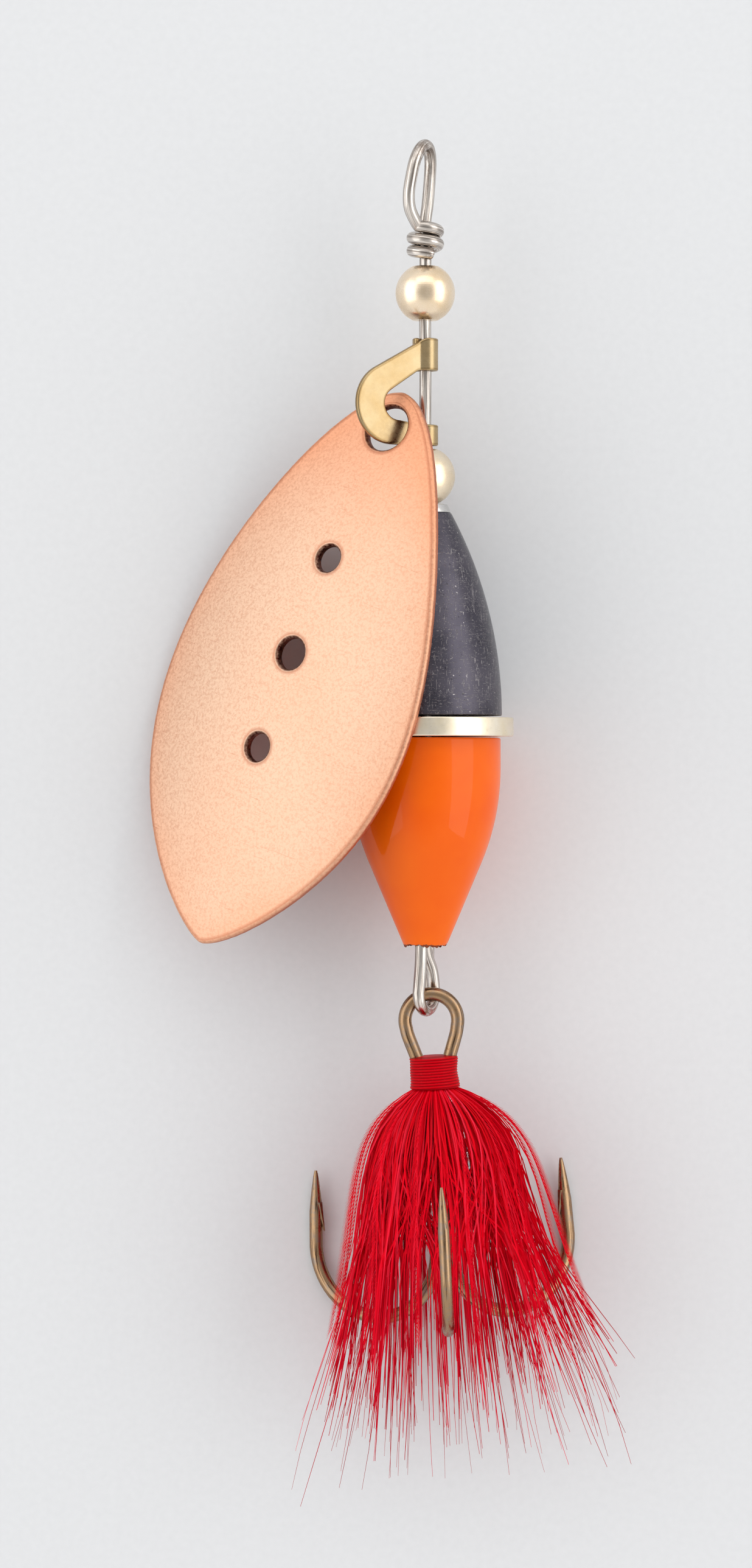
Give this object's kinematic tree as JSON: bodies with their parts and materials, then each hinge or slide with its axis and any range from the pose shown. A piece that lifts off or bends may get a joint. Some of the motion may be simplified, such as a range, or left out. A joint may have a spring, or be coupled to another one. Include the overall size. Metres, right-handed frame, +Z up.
{
  "type": "spinner lure",
  "caption": "In-line spinning lure: a wire shaft carries beads, a clevis with a dished copper blade, a turned body and a feathered treble hook.",
  "frame": {"origin": "on the axis of the shaft, level with the middle of the line eye", "axes": "lying flat as stored: +Y along the shaft from the hook to the line eye, +Z up from the ground, the blade leaning down towards -X"},
  "size_m": [0.036, 0.1114, 0.0193],
  "materials": {
    "wire": "satin drawn stainless spring wire",
    "bead": "satin turned brass, champagne coloured",
    "bead_pale": "satin turned brass, paler plating",
    "clevis": "stamped brass strip",
    "blade": "satin shot-blasted copper",
    "bush": "bright turned",
    "front_body": "black satin coating, lightly scratched",
    "ring": "brushed",
    "rear_body": "glossy orange enamel",
    "hook": "bronzed steel",
    "thread": "varnished red thread",
    "hackle": "dyed red feather"
  },
  "bodies": {
    "shaft": {"shaft_wire": "wire"},
    "front_bead": {"front_bead": "bead"},
    "clevis": {"clevis": "clevis"},
    "blade": {"blade": "blade"},
    "rear_bead": {"rear_bead": "bead_pale"},
    "front_body": {"nose_bush": "bush", "front_body": "front_body"},
    "mid_ring": {"mid_ring": "ring"},
    "rear_body": {"rear_body": "rear_body"},
    "treble": {"hook_double": "hook", "hook_single": "hook", "thread_wrap": "thread", "hackle_1": "hackle", "hackle_2": "hackle", "hackle_3": "hackle", "hackle_4": "hackle", "hackle_5": "hackle", "hackle_6": "hackle", "hackle_7": "hackle", "hackle_8": "hackle", "hackle_9": "hackle"}
  },
  "joints": [
    {"name": "front_bead_slide", "type": "slide", "parent": "shaft", "child": "front_bead", "axis": [0, 1, 0], "range_m": [-0.0012, 0.0002]},
    {"name": "clevis_spin", "type": "hinge", "parent": "shaft", "child": "clevis", "pos_m": [0, -0.017, 0], "axis": [0, 1, 0], "continuous": true},
    {"name": "blade_swing", "type": "hinge", "parent": "clevis", "child": "blade", "pos_m": [-0.003, -0.0202, 0.00172], "axis": [-0.7512, 0.2982, -0.5889], "range_deg": [0, 14]},
    {"name": "rear_bead_spin", "type": "hinge", "parent": "shaft", "child": "rear_bead", "pos_m": [0, -0.02395, 0], "axis": [0, 1, 0], "continuous": true},
    {"name": "front_body_spin", "type": "hinge", "parent": "shaft", "child": "front_body", "pos_m": [0, -0.035, 0], "axis": [0, 1, 0], "continuous": true},
    {"name": "mid_ring_spin", "type": "hinge", "parent": "shaft", "child": "mid_ring", "pos_m": [0, -0.0445, 0], "axis": [0, 1, 0], "continuous": true},
    {"name": "rear_body_spin", "type": "hinge", "parent": "shaft", "child": "rear_body", "pos_m": [0, -0.054, 0], "axis": [0, 1, 0], "continuous": true},
    {"name": "hook_swing", "type": "hinge", "parent": "shaft", "child": "treble", "pos_m": [0.0001, -0.0678, 0], "axis": [0, 0, 1], "range_deg": [-50, 50]}
  ]
}
